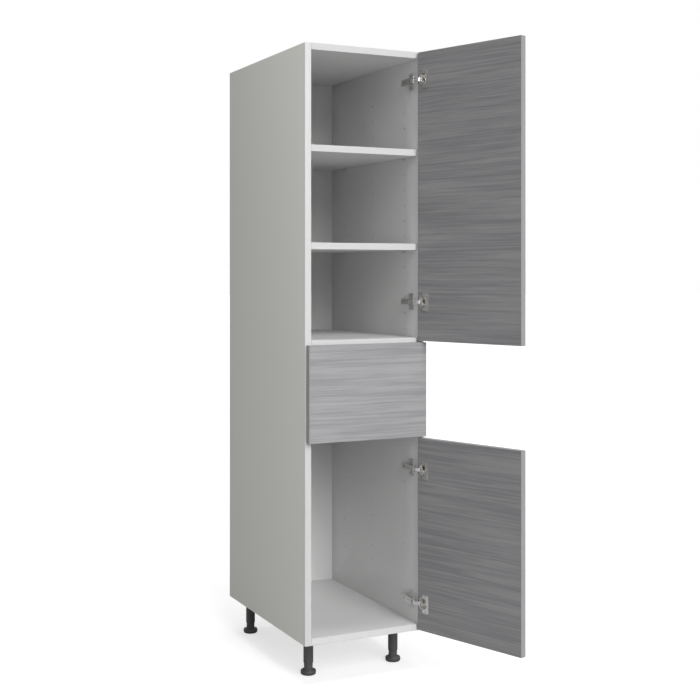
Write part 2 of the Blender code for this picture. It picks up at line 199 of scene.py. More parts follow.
def add_bump(tree, shader, height, strength, distance):
    bump = add_node(tree, "ShaderNodeBump", {"Height": height, "Strength": strength, "Distance": distance})
    tree.links.new(bump.outputs[0], shader.inputs["Normal"])


print("node helpers ready")

# %% [markdown]
# ## Effect: uneven tone
#
# No sheet of decor paper or plated steel is one flat value. Large, faint clouds make it a little
# lighter here and a little darker there. The clouds could be painted, but a procedural noise gives
# them at any size without seams, and every material can share one group.

# %% Group: uneven tone
uneven_tone, tone_in, tone_out = new_group(
    "uneven_tone",
    {"Vector": ("Vector", None), "Colour": ("Color", (0.7, 0.7, 0.7, 1)),
     "Amount": ("Float", 0.05), "Scale": ("Float", 3.0)},
    {"Colour": ("Color", None), "Cloud": ("Float", None)})
cloud = add_node(uneven_tone, "ShaderNodeTexNoise", {
    "Vector": tone_in["Vector"], "Scale": tone_in["Scale"], "Detail": 4.0, "Roughness": 0.6}).outputs[0]
swing = maths(uneven_tone, "MULTIPLY", maths(uneven_tone, "SUBTRACT", cloud, 0.5), tone_in["Amount"])
gain = maths(uneven_tone, "ADD", swing, 1.0)
gain_colour = add_node(uneven_tone, "ShaderNodeCombineXYZ", {0: gain, 1: gain, 2: gain}).outputs[0]
uneven_tone.links.new(
    blend_colours(uneven_tone, 1.0, tone_in["Colour"], gain_colour, "MULTIPLY"), tone_out["Colour"])
uneven_tone.links.new(cloud, tone_out["Cloud"])
print("group", uneven_tone.name)

# %% [markdown]
# ## Effect: moulded pebble
#
# Melamine sheets are pressed against a finely pebbled plate, and moulded plastic copies a spark
# eroded tool. Both give a matt surface of shallow bumps about a millimetre across. Two noises, a
# coarse and a fine one, are added up; the result drives the bump and slightly changes the gloss.

# %% Group: moulded pebble
pebble, pebble_in, pebble_out = new_group(
    "moulded_pebble",
    {"Vector": ("Vector", None), "Scale": ("Float", 900.0)},
    {"Height": ("Float", None)})
coarse = add_node(pebble, "ShaderNodeTexNoise", {
    "Vector": pebble_in["Vector"], "Scale": pebble_in["Scale"], "Detail": 2.0}).outputs[0]
finer = maths(pebble, "MULTIPLY", pebble_in["Scale"], 2.7)
fine = add_node(pebble, "ShaderNodeTexVoronoi", {"Vector": pebble_in["Vector"], "Scale": finer}).outputs[0]
pebble.links.new(maths(pebble, "ADD", coarse, maths(pebble, "MULTIPLY", fine, 0.35)), pebble_out["Height"])
print("group", pebble.name)

# %% [markdown]
# ## Effect: handled gloss
#
# Hands and cloths leave gloss uneven: soft patches a few centimetres wide and thin wiping streaks.
# Only the roughness changes, so the marks show where a light glances off and vanish elsewhere,
# as they do on real furniture.

# %% Group: handled gloss
handled_gloss, gloss_in, gloss_out = new_group(
    "handled_gloss",
    {"Vector": ("Vector", None), "Roughness": ("Float", 0.45), "Amount": ("Float", 0.08),
     "Patch Scale": ("Float", 9.0)},
    {"Roughness": ("Float", None)})
patches = add_node(handled_gloss, "ShaderNodeTexNoise", {
    "Vector": gloss_in["Vector"], "Scale": gloss_in["Patch Scale"], "Detail": 3.0}).outputs[0]
streaks = stretched_noise(handled_gloss, gloss_in["Vector"], (14.0, 14.0, 260.0), detail=2.0)
marks = maths(handled_gloss, "ADD", patches, maths(handled_gloss, "MULTIPLY", streaks, 0.5))
change = maths(handled_gloss, "MULTIPLY", maths(handled_gloss, "SUBTRACT", marks, 0.75), gloss_in["Amount"])
handled_gloss.links.new(maths(handled_gloss, "ADD", gloss_in["Roughness"], change), gloss_out["Roughness"])
print("group", handled_gloss.name)

# %% [markdown]
# ## Effect: glued edge bands
#
# A chipboard panel is closed along its rim with a plastic band one millimetre thick. Seen on the
# face of the panel, the band is a slim border with a hairline glue joint beside it. The group gets
# a place measured from the panel's centre and half the panel's size, works out how far the place is
# from the nearest banded rim, and gives a mask for the border and another for the joint.

# %% Group: edge bands
BAND = 0.0010
edge_bands, band_in, band_out = new_group(
    "edge_bands",
    {"Place": ("Vector", None), "Half Size": ("Vector", None), "Banded": ("Vector", (1, 1, 1))},
    {"Band": ("Float", None), "Joint": ("Float", None)})
place_parts = add_node(edge_bands, "ShaderNodeSeparateXYZ", {0: band_in["Place"]}).outputs
size_parts = add_node(edge_bands, "ShaderNodeSeparateXYZ", {0: band_in["Half Size"]}).outputs
banded_parts = add_node(edge_bands, "ShaderNodeSeparateXYZ", {0: band_in["Banded"]}).outputs
nearest = None
for axis in range(3):
    off_centre = maths(edge_bands, "ABSOLUTE", place_parts[axis])
    inside = maths(edge_bands, "SUBTRACT", size_parts[axis], off_centre)
    unbanded = maths(edge_bands, "SUBTRACT", 1.0, banded_parts[axis])
    distance = maths(edge_bands, "ADD", inside, unbanded)
    nearest = distance if nearest is None else maths(edge_bands, "MINIMUM", nearest, distance)
edge_bands.links.new(remap(edge_bands, nearest, BAND + 0.00005, BAND - 0.00005), band_out["Band"])
off_joint = maths(edge_bands, "ABSOLUTE", maths(edge_bands, "SUBTRACT", nearest, BAND))
edge_bands.links.new(remap(edge_bands, off_joint, 0.00018, 0.00005), band_out["Joint"])
print("group", edge_bands.name, "band", BAND)

# %% [markdown]
# ## Effect: worn and highlighted corners
#
# Plated and moulded parts rub bare, or at least shiny, along their corners, and the finishes paint a
# highlight there too. Cycles can compare the surface normal with one that has been rounded over a
# small radius: where they differ there is a corner. The difference is broken up with noise so the
# lighter band is not a drawn line.

# %% Group: corner wear and sheen
corner_wear_and_sheen, corner_mask_in, corner_mask_out = new_group(
    "corner_wear_and_sheen",
    {"Vector": ("Vector", None), "Width": ("Float", 0.0004)},
    {"Wear And Sheen": ("Float", None)})
rounded = add_node(corner_wear_and_sheen, "ShaderNodeBevel", {"Radius": corner_mask_in["Width"]}, samples=4).outputs[0]
straight = add_node(corner_wear_and_sheen, "ShaderNodeNewGeometry").outputs["Normal"]
agree = add_node(corner_wear_and_sheen, "ShaderNodeVectorMath", {0: rounded, 1: straight},
                 operation="DOT_PRODUCT").outputs["Value"]
broken = add_node(corner_wear_and_sheen, "ShaderNodeTexNoise", {
    "Vector": corner_mask_in["Vector"], "Scale": 420.0}).outputs[0]
# This mask marks corners. The finishes lighten them, partly as worn metal or plastic and partly as a
# painted highlight.
corner = remap(corner_wear_and_sheen, agree, 0.995, 0.90)
corner_wear_and_sheen.links.new(maths(corner_wear_and_sheen, "MULTIPLY", corner, remap(corner_wear_and_sheen, broken, 0.35, 0.6)),
                       corner_mask_out["Wear And Sheen"])
print("group", corner_wear_and_sheen.name)

# %% [markdown]
# ## Finish: white melamine board
#
# Carcass board is chipboard faced with white melamine paper. It is bright but not pure white, semi
# matt, with a fine pebble. Each board gets its own copy of the finish, because the edge band needs
# to know the board's own centre and size. The outer faces of the two sides carry a warmer decor
# that leans a little towards grey-green.

# %% Melamine
BOARD_GLOSS = 0.35      # pressed paper mirrors less than bare plastic
SKIN_DEPTH = 0.0004     # how deep the printed faces reach into a board
WHITE = (0.780, 0.780, 0.778, 1)
BAND_WHITE = (0.735, 0.735, 0.735, 1)
OUTSIDE_GREY = (0.810, 0.820, 0.768, 1)
GLUE_LINE = (0.33, 0.32, 0.30, 1)


def melamine(name, centre, half_size, banded=(0, 1, 0), outside=0):
    """White board finish; outside is -1 or 1 for a side panel whose left or right face shows."""
    material, tree, shader, place = new_material("melamine_" + name, 0.5)
    shader.inputs["Specular IOR Level"].default_value = BOARD_GLOSS
    local = add_node(tree, "ShaderNodeMapping", {"Vector": place, "Location": centre},
                     vector_type="TEXTURE").outputs[0]
    tone = use_group(tree, uneven_tone, Vector=place, Colour=WHITE, Amount=0.035, Scale=2.5)
    colour = tone["Colour"]
    if outside:
        across = add_node(tree, "ShaderNodeSeparateXYZ", {0: local}).outputs[0]
        reach = maths(tree, "MULTIPLY", across, float(outside))
        skin = remap(tree, reach, half_size.x - 2 * SKIN_DEPTH, half_size.x - SKIN_DEPTH)
        grey = use_group(tree, uneven_tone, Vector=place, Colour=OUTSIDE_GREY, Amount=0.03, Scale=1.7)
        colour = blend_colours(tree, skin, colour, grey["Colour"])
    bands = use_group(tree, edge_bands, Place=local, Half_Size=half_size, Banded=banded)
    colour = blend_colours(tree, bands["Band"], colour, BAND_WHITE)
    colour = blend_colours(tree, maths(tree, "MULTIPLY", bands["Joint"], 0.55), colour, GLUE_LINE)
    gloss = use_group(tree, handled_gloss, Vector=place, Roughness=0.50, Amount=0.09, Patch_Scale=7.0)
    bumps = use_group(tree, pebble, Vector=place, Scale=800.0)
    height = maths(tree, "SUBTRACT", bumps["Height"], bands["Joint"])
    connect(tree, shader, Base_Color=colour, Roughness=gloss["Roughness"])
    add_bump(tree, shader, height, 0.10, 0.0002)
    return material


def dress(name, material):
    """Give a CAD piece its finish."""
    mesh = nodes[name].data
    mesh.materials.clear()
    mesh.materials.append(material)


for banded, names in (
        ((0, 1, 0), ("top_panel", "bottom_panel", "drawer_deck", "lower_shelf", "upper_shelf")),
        ((0, 0, 1), ("drawer_left_side", "drawer_right_side", "drawer_inner_front", "drawer_back")),
        ((0, 0, 0), ("back_panel", "drawer_bottom"))):
    for name in names:
        dress(name, melamine(name, *board_size(name), banded=banded))
print("melamine boards dressed")

# %% [markdown]
# ## Finish: grey laminate with a wood grain
#
# The doors and the drawer front are faced with a grey decor that copies a brushed, silvered wood.
# The grain lies across the front, so on an open door it has to turn with the door. Four stretched
# noises make it: faint clouds, broad bands, streaks a few millimetres high, and fine hairs whose
# darkest parts are pores. A slow wave pushes them up and down so no line is ruler straight. The
# inner faces are painted a little darker than the outer ones, as painted shade.

# %% Group: brushed wood grain
wood_grain, grain_in, grain_out = new_group(
    "wood_grain",
    {"Place": ("Vector", None), "Light": ("Color", (0.40, 0.40, 0.40, 1)),
     "Dark": ("Color", (0.33, 0.33, 0.34, 1)), "Pore": ("Color", (0.27, 0.27, 0.28, 1))},
    {"Colour": ("Color", None), "Height": ("Float", None)})
wander = stretched_noise(wood_grain, grain_in["Place"], (2.2, 0.5, 6.0), detail=2.0)
lift = maths(wood_grain, "MULTIPLY", maths(wood_grain, "SUBTRACT", wander, 0.5), 0.014)
lifted = add_node(wood_grain, "ShaderNodeCombineXYZ", {2: lift}).outputs[0]
waved = add_node(wood_grain, "ShaderNodeVectorMath", {0: grain_in["Place"], 1: lifted},
                 operation="ADD").outputs[0]
clouds = stretched_noise(wood_grain, grain_in["Place"], (2.5, 1.5, 14.0), detail=3.0, roughness=0.6)
bands = stretched_noise(wood_grain, waved, (0.9, 0.5, 46.0), detail=3.0, roughness=0.6)
streaks = stretched_noise(wood_grain, waved, (3.0, 1.5, 170.0), detail=4.0, roughness=0.62)
hairs = stretched_noise(wood_grain, waved, (7.0, 4.0, 640.0), detail=3.0, roughness=0.7)
figure = None
for layer, share in ((clouds, 0.18), (bands, 0.26), (streaks, 0.42), (hairs, 0.14)):
    weighted = maths(wood_grain, "MULTIPLY", layer, share)
    figure = weighted if figure is None else maths(wood_grain, "ADD", figure, weighted)
lightness = remap(wood_grain, figure, 0.41, 0.59)
pores = remap(wood_grain, hairs, 0.42, 0.30)
body_colour = blend_colours(wood_grain, lightness, grain_in["Dark"], grain_in["Light"])
wood_grain.links.new(
    blend_colours(wood_grain, maths(wood_grain, "MULTIPLY", pores, 0.5), body_colour, grain_in["Pore"]),
    grain_out["Colour"])
wood_grain.links.new(maths(wood_grain, "SUBTRACT", lightness, pores), grain_out["Height"])
print("group", wood_grain.name)

# %% Laminate fronts
GRAIN_LIGHT = (0.430, 0.427, 0.436, 1)
GRAIN_DARK = (0.306, 0.305, 0.316, 1)
GRAIN_PORE = (0.240, 0.239, 0.250, 1)
# Painted shade: the inner face of each front is darkened to this share of its grain colour.
INNER_FACE_PAINTED_SHADE = (0.83, 0.83, 0.83, 1)
DARK_GLUE = (0.12, 0.12, 0.12, 1)
BAND_GREY = (0.375, 0.375, 0.377, 1)


def laminate(name, turn=0.0):
    """Grey grained finish for a front, with the grain along its width and a band on all four rims."""
    centre, half_size = board_size(name, turn)
    material, tree, shader, place = new_material("laminate_" + name, 0.5)
    shader.inputs["Specular IOR Level"].default_value = BOARD_GLOSS
    local = add_node(tree, "ShaderNodeMapping", {
        "Vector": place, "Location": centre, "Rotation": (0, 0, turn)}, vector_type="TEXTURE").outputs[0]
    shift = add_node(tree, "ShaderNodeVectorMath", {0: local, 1: (0.0, 0.0, centre.z * 1.37)},
                     operation="ADD").outputs[0]
    grain = use_group(tree, wood_grain, Place=shift, Light=GRAIN_LIGHT, Dark=GRAIN_DARK, Pore=GRAIN_PORE)
    bands = use_group(tree, edge_bands, Place=local, Half_Size=half_size, Banded=(1, 0, 1))
    band_colour = use_group(tree, uneven_tone, Vector=place, Colour=BAND_GREY, Amount=0.08, Scale=40.0)
    through = add_node(tree, "ShaderNodeSeparateXYZ", {0: local}).outputs[1]
    # Mask of the inner face, where the painted shade darkens the grain.
    painted_shade_side = remap(tree, through, half_size.y - 2 * SKIN_DEPTH, half_size.y - SKIN_DEPTH)
    colour = blend_colours(tree, painted_shade_side, grain["Colour"],
                           blend_colours(tree, 1.0, grain["Colour"], INNER_FACE_PAINTED_SHADE, "MULTIPLY"))
    colour = blend_colours(tree, bands["Band"], colour, band_colour["Colour"])
    colour = blend_colours(tree, maths(tree, "MULTIPLY", bands["Joint"], 0.6), colour, DARK_GLUE)
    tone = use_group(tree, uneven_tone, Vector=place, Colour=colour, Amount=0.05, Scale=2.2)
    gloss = use_group(tree, handled_gloss, Vector=place, Roughness=0.50, Amount=0.12, Patch_Scale=8.0)
    connect(tree, shader, Base_Color=tone["Colour"], Roughness=gloss["Roughness"])
    add_bump(tree, shader, maths(tree, "SUBTRACT", grain["Height"], bands["Joint"]), 0.22, 0.00025)
    return material


dress("upper_door", laminate("upper_door", DOOR_OPEN))
dress("lower_door", laminate("lower_door", DOOR_OPEN))
dress("drawer_front", laminate("drawer_front"))
print("laminate fronts dressed")

# %% [markdown]
# ## Finish: plated steel
#
# Hinges are pressed steel with bright nickel on top, and the runners, mounting plates and pins have
# duller zinc. Both are metals, so their base colour is the colour of the reflection. Nickel is a
# little warm and smooth; zinc is bluish, cloudy and rougher. Corners are lighter: partly worn metal, partly
# a painted highlight.

# %% Metals
def plated(name, colour, bright, roughness, cloud_amount, brush):
    material, tree, shader, place = new_material(name, roughness, 1.0)
    tone = use_group(tree, uneven_tone, Vector=place, Colour=colour, Amount=cloud_amount, Scale=60.0)
    wear_and_sheen = use_group(tree, corner_wear_and_sheen, Vector=place, Width=0.0005)
    gloss = use_group(tree, handled_gloss, Vector=place, Roughness=roughness, Amount=0.12, Patch_Scale=90.0)
    rolled = stretched_noise(tree, place, (900.0, 60.0, 900.0), detail=2.0)
    # Corners take the lighter colour: partly worn metal, partly a painted highlight.
    sheen_and_wear_share = maths(tree, "MULTIPLY", wear_and_sheen["Wear And Sheen"], 0.6)
    connect(tree, shader, Base_Color=blend_colours(tree, sheen_and_wear_share, tone["Colour"], bright),
            Roughness=maths(tree, "SUBTRACT", gloss["Roughness"],
                            maths(tree, "MULTIPLY", wear_and_sheen["Wear And Sheen"], roughness * 0.35)))
    add_bump(tree, shader, rolled, brush, 0.0001)
    return material


nickel = plated("nickel_plated_steel", (0.80, 0.79, 0.77, 1), (0.92, 0.91, 0.89, 1), 0.20, 0.10, 0.05)
zinc = plated("zinc_plated_steel", (0.72, 0.725, 0.74, 1), (0.85, 0.85, 0.86, 1), 0.50, 0.22, 0.10)
screw_steel = plated("screw_steel", (0.66, 0.655, 0.64, 1), (0.85, 0.85, 0.84, 1), 0.26, 0.20, 0.08)
print("metals:", nickel.name, zinc.name, screw_steel.name)

# %% [markdown]
# ## Finish: leg plastic
#
# The legs are moulded in charcoal polypropylene. It is never fully black: the surface is finely
# textured, catches a soft highlight, and its corners are a shade lighter: partly rubbing, partly a painted
# highlight.

# %% Plastic
def moulded_plastic(name, colour, rubbed_and_lit, roughness):
    material, tree, shader, place = new_material(name, roughness)
    tone = use_group(tree, uneven_tone, Vector=place, Colour=colour, Amount=0.25, Scale=22.0)
    wear_and_sheen = use_group(tree, corner_wear_and_sheen, Vector=place, Width=0.0008)
    gloss = use_group(tree, handled_gloss, Vector=place, Roughness=roughness, Amount=0.15, Patch_Scale=30.0)
    bumps = use_group(tree, pebble, Vector=place, Scale=1500.0)
    # Corners take the lighter colour: partly rubbing, partly a painted highlight.
    sheen_and_wear_share = maths(tree, "MULTIPLY", wear_and_sheen["Wear And Sheen"], 0.5)
    connect(tree, shader, Base_Color=blend_colours(tree, sheen_and_wear_share, tone["Colour"], rubbed_and_lit),
            Roughness=gloss["Roughness"])
    add_bump(tree, shader, bumps["Height"], 0.25, 0.0002)
    return material


leg_plastic = moulded_plastic("leg_plastic", (0.075, 0.075, 0.076, 1), (0.17, 0.17, 0.17, 1), 0.36)
print("plastic:", leg_plastic.name)

# %% [markdown]
# ## Finish: raw chipboard
#
# Inside a drilled hole or a milled groove the white skin is cut away, and the pressed wood chips
# show: sandy flakes of uneven tone. A cell pattern gives each flake its own colour.

# %% Chipboard
chipboard, tree, shader, place = new_material("raw_chipboard", 0.9)
flakes = add_node(tree, "ShaderNodeTexVoronoi", {"Vector": place, "Scale": 700.0})
flake_tone = add_node(tree, "ShaderNodeSeparateColor", {0: flakes.outputs["Color"]}).outputs[0]
dark_flake, light_flake = (0.30, 0.21, 0.12, 1), (0.52, 0.40, 0.25, 1)
connect(tree, shader, Base_Color=blend_colours(tree, flake_tone, dark_flake, light_flake))
add_bump(tree, shader, flakes.outputs["Distance"], 0.5, 0.0004)
print("material", chipboard.name)

# %% [markdown]
# ## Making pieces
#
# A few helpers turn ideas into meshes. One keeps the bookkeeping of a finished piece in one place:
# which body it rides on, which finish it gets, which frame node it stands for. One turns
# a profile round an axis, as a lathe does, and one pulls a flat outline out into a solid. One runs a
# Geometry Nodes tree on a mesh and keeps the result as a plain mesh, since live modifiers and
# instances do not travel to other programs.

# %% Piece helpers
def add_piece(name, mesh, body, replaces=(), material=None):
    """A finished piece: its mesh is already in the cabinet's frame."""
    mesh.name = name
    if material:
        mesh.materials.clear()
        mesh.materials.append(material)
    piece = bpy.data.objects.new(name, mesh)
    bpy.context.scene.collection.objects.link(piece)
    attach(piece, body)
    if replaces:
        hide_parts(*replaces)
    return piece


def shade(mesh, sharp=35):
    """Smooth shading, with every corner sharper than the given degrees kept crisp."""
    mesh.shade_smooth()
    mesh.set_sharp_from_angle(angle=math.radians(sharp))


def mesh_from(bm, name, sharp=35):
    bmesh.ops.remove_doubles(bm, verts=bm.verts, dist=1e-7)
    bmesh.ops.recalc_face_normals(bm, faces=bm.faces)
    mesh = bpy.data.meshes.new(name)
    bm.to_mesh(mesh)
    bm.free()
    shade(mesh, sharp)
    return mesh


def pull_out(bm, points, pull):
    """Pull a flat outline out into a solid."""
    base = bm.faces.new([bm.verts.new(point) for point in points])
    moved = bmesh.ops.extrude_face_region(bm, geom=[base])["geom"]
    bmesh.ops.translate(bm, verts=[v for v in moved if isinstance(v, bmesh.types.BMVert)], vec=pull)


def lathe(bm, profile, sides, move=Matrix.Identity(4)):
    """Turn a profile of (radius, height) points about Z; it starts and ends on the axis."""
    rings = []
    for radius, height in profile:
        if radius == 0:
            rings.append([bm.verts.new(move @ Vector((0, 0, height)))] * sides)
        else:
            rings.append([
                bm.verts.new(move @ Vector((radius * math.cos(math.tau * i / sides),
                                            radius * math.sin(math.tau * i / sides), height)))
                for i in range(sides)])
    for lower, upper in zip(rings, rings[1:]):
        for i in range(sides):
            corners = [lower[i], lower[(i + 1) % sides], upper[(i + 1) % sides], upper[i]]
            bm.faces.new(list(dict.fromkeys(corners)))


def round_corner(centre, radius, start, end, steps):
    """Points of an arc in a profile, angles in degrees."""
    angles = [math.radians(start + (end - start) * i / steps) for i in range(steps + 1)]
    return [(centre[0] + radius * math.cos(a), centre[1] + radius * math.sin(a)) for a in angles]


def scratch_object(mesh, name="scratch"):
    obj = bpy.data.objects.new(name, mesh)
    bpy.context.scene.collection.objects.link(obj)
    return obj


def plain_mesh(obj):
    """The object's mesh with its modifiers worked in; the object itself is removed."""
    bpy.context.view_layer.update()
    result = bpy.data.meshes.new_from_object(obj.evaluated_get(bpy.context.evaluated_depsgraph_get()))
    bpy.data.objects.remove(obj)
    return result


def run_tree(mesh, tree, **inputs):
    """Run a Geometry Nodes tree on a mesh; inputs are set by identifier before it is evaluated."""
    obj = scratch_object(mesh)
    modifier = obj.modifiers.new(tree.name, "NODES")
    modifier.node_group = tree
    identifiers = {item.name: item.identifier for item in tree.interface.items_tree
                   if item.item_type == "SOCKET" and item.in_out == "INPUT"}
    for label, value in inputs.items():
        modifier[identifiers[label.replace("_", " ")]] = value
    result = plain_mesh(obj)
    used = sorted({face.material_index for face in result.polygons})
    for face in result.polygons:
        face.material_index = used.index(face.material_index)
    for index in reversed(range(len(result.materials))):
        if index not in used:
            result.materials.pop(index=index)
    return result


def new_tree(name, inputs):
    """An empty Geometry Nodes tree with a Geometry socket and the named inputs."""
    tree = bpy.data.node_groups.new(name, "GeometryNodeTree")
    tree.is_modifier = True
    tree.interface.new_socket(name="Geometry", in_out="INPUT", socket_type="NodeSocketGeometry")
    for label, (kind, value) in inputs.items():
        socket = tree.interface.new_socket(name=label, in_out="INPUT", socket_type="NodeSocket" + kind)
        if value is not None:
            socket.default_value = value
    tree.interface.new_socket(name="Geometry", in_out="OUTPUT", socket_type="NodeSocketGeometry")
    return tree, tree.nodes.new("NodeGroupInput").outputs, tree.nodes.new("NodeGroupOutput").inputs[0]


def end_tree(tree, geometry, material, output):
    """Every tree ends the same way: real geometry instead of instances, and a finish."""
    real = add_node(tree, "GeometryNodeRealizeInstances", {0: geometry}).outputs[0]
    painted = add_node(tree, "GeometryNodeSetMaterial", {"Geometry": real, "Material": material}).outputs[0]
    tree.links.new(painted, output)
    return painted


print("piece helpers ready")

# %% [markdown]
# ## Side panels with their rows of pin holes
#
# A side panel is drilled in columns so that shelves can be moved. The holes are five millimetres
# wide and forty-six apart, in three columns, with a gap where the drawer runs. Drilling them one by
# one with a Boolean modifier would need seventy-two modifiers. A Geometry Nodes tree does it in
# one go: it lays out a line of points for each row, puts a drill on each point, and cuts them all
# at once. The drill has a small flare, which leaves the eased rim of a real hole.

# %% Tree: drilled rows
RIM = 0.002
drilled_rows, rows_in, rows_out = new_tree("drilled_rows", {
    "Drill": ("Object", None), "Pitch": ("Float", 0.046), "Face": ("Float", 0.0),
    "Upper Start": ("Float", 1.0), "Upper Count": ("Int", 16),
    "Lower Start": ("Float", 0.2), "Lower Count": ("Int", 8),
    "Front Column": ("Float", 0.0), "Middle Column": ("Float", 0.1), "Rear Column": ("Float", 0.2),
    "Skin": ("Material", None), "Core": ("Material", None)})
drill = add_node(drilled_rows, "GeometryNodeObjectInfo", {"Object": rows_in["Drill"]}).outputs["Geometry"]
step = add_node(drilled_rows, "ShaderNodeCombineXYZ", {2: rows_in["Pitch"]}).outputs[0]
all_rows = add_node(drilled_rows, "GeometryNodeJoinGeometry")
for column in ("Front Column", "Middle Column", "Rear Column"):
    for part in ("Upper", "Lower"):
        begin = add_node(drilled_rows, "ShaderNodeCombineXYZ", {
            0: rows_in["Face"], 1: rows_in[column], 2: rows_in[part + " Start"]}).outputs[0]
        line = add_node(drilled_rows, "GeometryNodeMeshLine", {
            "Count": rows_in[part + " Count"], "Start Location": begin, "Offset": step}, mode="OFFSET")
        row = add_node(drilled_rows, "GeometryNodeInstanceOnPoints", {
            "Points": line.outputs[0], "Instance": drill})
        drilled_rows.links.new(row.outputs[0], all_rows.inputs[0])
drills = add_node(drilled_rows, "GeometryNodeRealizeInstances", {0: all_rows.outputs[0]}).outputs[0]
cut = add_node(drilled_rows, "GeometryNodeMeshBoolean", operation="DIFFERENCE", solver="EXACT")
drilled_rows.links.new(rows_in["Geometry"], cut.inputs["Mesh 1"])
drilled_rows.links.new(drills, cut.inputs["Mesh 2"])
painted = end_tree(drilled_rows, cut.outputs[0], rows_in["Skin"], rows_out)
spot = add_node(drilled_rows, "GeometryNodeInputPosition").outputs[0]
across, along, upwards = add_node(drilled_rows, "ShaderNodeSeparateXYZ", {0: spot}).outputs
below = maths(drilled_rows, "ABSOLUTE", maths(drilled_rows, "SUBTRACT", across, rows_in["Face"]))
raw = maths(drilled_rows, "GREATER_THAN", below, 0.00015)
for test, value, limit in (("LESS_THAN", below, BOARD - 0.001),
                           ("GREATER_THAN", along, FRONT + RIM), ("LESS_THAN", along, BACK - RIM),
                           ("GREATER_THAN", upwards, BOTTOM + RIM), ("LESS_THAN", upwards, TOP - RIM)):
    raw = maths(drilled_rows, "MULTIPLY", raw, maths(drilled_rows, test, value, limit))
core = add_node(drilled_rows, "GeometryNodeSetMaterial", {
    "Geometry": painted, "Selection": raw, "Material": rows_in["Core"]}).outputs[0]
drilled_rows.links.new(core, rows_out)
print("tree", drilled_rows.name, len(drilled_rows.nodes), "nodes")

# %% [markdown]
# The panel itself is an outline with the groove for the back, pulled up to its height, with its
# edges eased by a small bevel. The drill is turned on the lathe. Each side gets the mirror image.

# %% Side panels
PIN_HOLE_RADIUS, PIN_HOLE_DEPTH, PITCH = 0.0026, 0.0110, 0.046
ROW_START = {"Upper_Start": BOTTOM + 0.8805, "Lower_Start": BOTTOM + 0.1005}
COLUMNS = {"Front_Column": FRONT + 0.083, "Middle_Column": FRONT + 0.2906, "Rear_Column": FRONT + 0.488}
back_low, back_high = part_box("back_panel")
GROOVE_PLAY = 0.0003


def eased_panel(name, outer_x, inner_x, groove_x):
    bm = bmesh.new()
    outline = [(outer_x, FRONT), (inner_x, FRONT), (inner_x, back_low.y - GROOVE_PLAY),
               (groove_x, back_low.y - GROOVE_PLAY), (groove_x, back_high.y + GROOVE_PLAY),
               (inner_x, back_high.y + GROOVE_PLAY), (inner_x, BACK), (outer_x, BACK)]
    pull_out(bm, [(x, y, BOTTOM) for x, y in outline], (0, 0, TOP - BOTTOM))
    bmesh.ops.recalc_face_normals(bm, faces=bm.faces)
    bmesh.ops.bevel(bm, geom=list(bm.edges), offset=0.0006, segments=2, profile=0.5, affect="EDGES")
    return mesh_from(bm, name, 25)


for hand, outward, inner_x in (("left", -1, INNER_LEFT), ("right", 1, INNER_RIGHT)):
    node = hand + "_side_panel"
    groove_x = (back_low if hand == "left" else back_high).x + outward * GROOVE_PLAY
    bm = bmesh.new()
    lathe(bm, [(0, -PIN_HOLE_DEPTH), (PIN_HOLE_RADIUS, -PIN_HOLE_DEPTH), (PIN_HOLE_RADIUS, -0.0004),
               (PIN_HOLE_RADIUS + 0.0004, 0.0002), (PIN_HOLE_RADIUS + 0.0004, 0.002), (0, 0.002)], 16,
          Matrix.Rotation(-outward * math.pi / 2, 4, "Y"))
    drill_object = scratch_object(mesh_from(bm, "drill"), "drill")
    centre, half_size = board_size(node)
    skin = melamine(node, centre, half_size, outside=outward)
    mesh = run_tree(eased_panel(node, inner_x + outward * BOARD, inner_x, groove_x), drilled_rows,
                    Drill=drill_object, Pitch=PITCH, Face=inner_x, Skin=skin, Core=chipboard,
                    **ROW_START, **COLUMNS)
    bpy.data.objects.remove(drill_object)
    shade(mesh, 25)
    add_piece(hand + "_side_drilled", mesh, "carcass", replaces=[node])
    print(hand, "side:", len(mesh.polygons), "faces, finishes", [m.name for m in mesh.materials])

# %% [markdown]
# ## Screws
#
# Every fitting is held by cross-headed screws. A screw head is turned on the lathe and its cross is
# cut out with a Boolean. A tree then puts a head on each marked point, lines it up with the
# direction stored on the point, and turns it by a random amount, because nobody stops a screw at
# the same angle twice.

# %% Screw heads
def screw_head(name, radius, height, rise, recess):
    """A head standing on z = 0: a flat or domed top with a cross recess."""
    bm = bmesh.new()
    lathe(bm, [(0, -0.0006), (radius * 0.72, -0.0006), (radius * 0.97, 0.0), (radius, height * 0.45),
               (radius * 0.86, height * 0.86), (radius * 0.45, height + rise * 0.8),
               (0, height + rise)], 24)
    head = scratch_object(mesh_from(bm, name), name)
    bm = bmesh.new()
    for turn in (0, math.pi / 2):
        blade = Matrix.Rotation(turn, 4, "Z") @ Matrix.Translation((0, 0, height + rise))
        size = Matrix.Diagonal((radius * 1.15, radius * 0.22, recess * 2, 1))
        bmesh.ops.create_cube(bm, size=1.0, matrix=blade @ size)
    cross = scratch_object(mesh_from(bm, name + "_cross"), name + "_cross")
    cut = head.modifiers.new("cross", "BOOLEAN")
    cut.operation, cut.solver, cut.use_self, cut.object = "DIFFERENCE", "EXACT", True, cross
    mesh = plain_mesh(head)
    bpy.data.objects.remove(cross)
    shade(mesh)
    return scratch_object(mesh, name)


flat_head = screw_head("flat_head", 0.0036, 0.0006, 0.0002, 0.0006)
pan_head = screw_head("pan_head", 0.0042, 0.0016, 0.0008, 0.0013)
print("screw heads:", len(flat_head.data.polygons), len(pan_head.data.polygons), "faces")

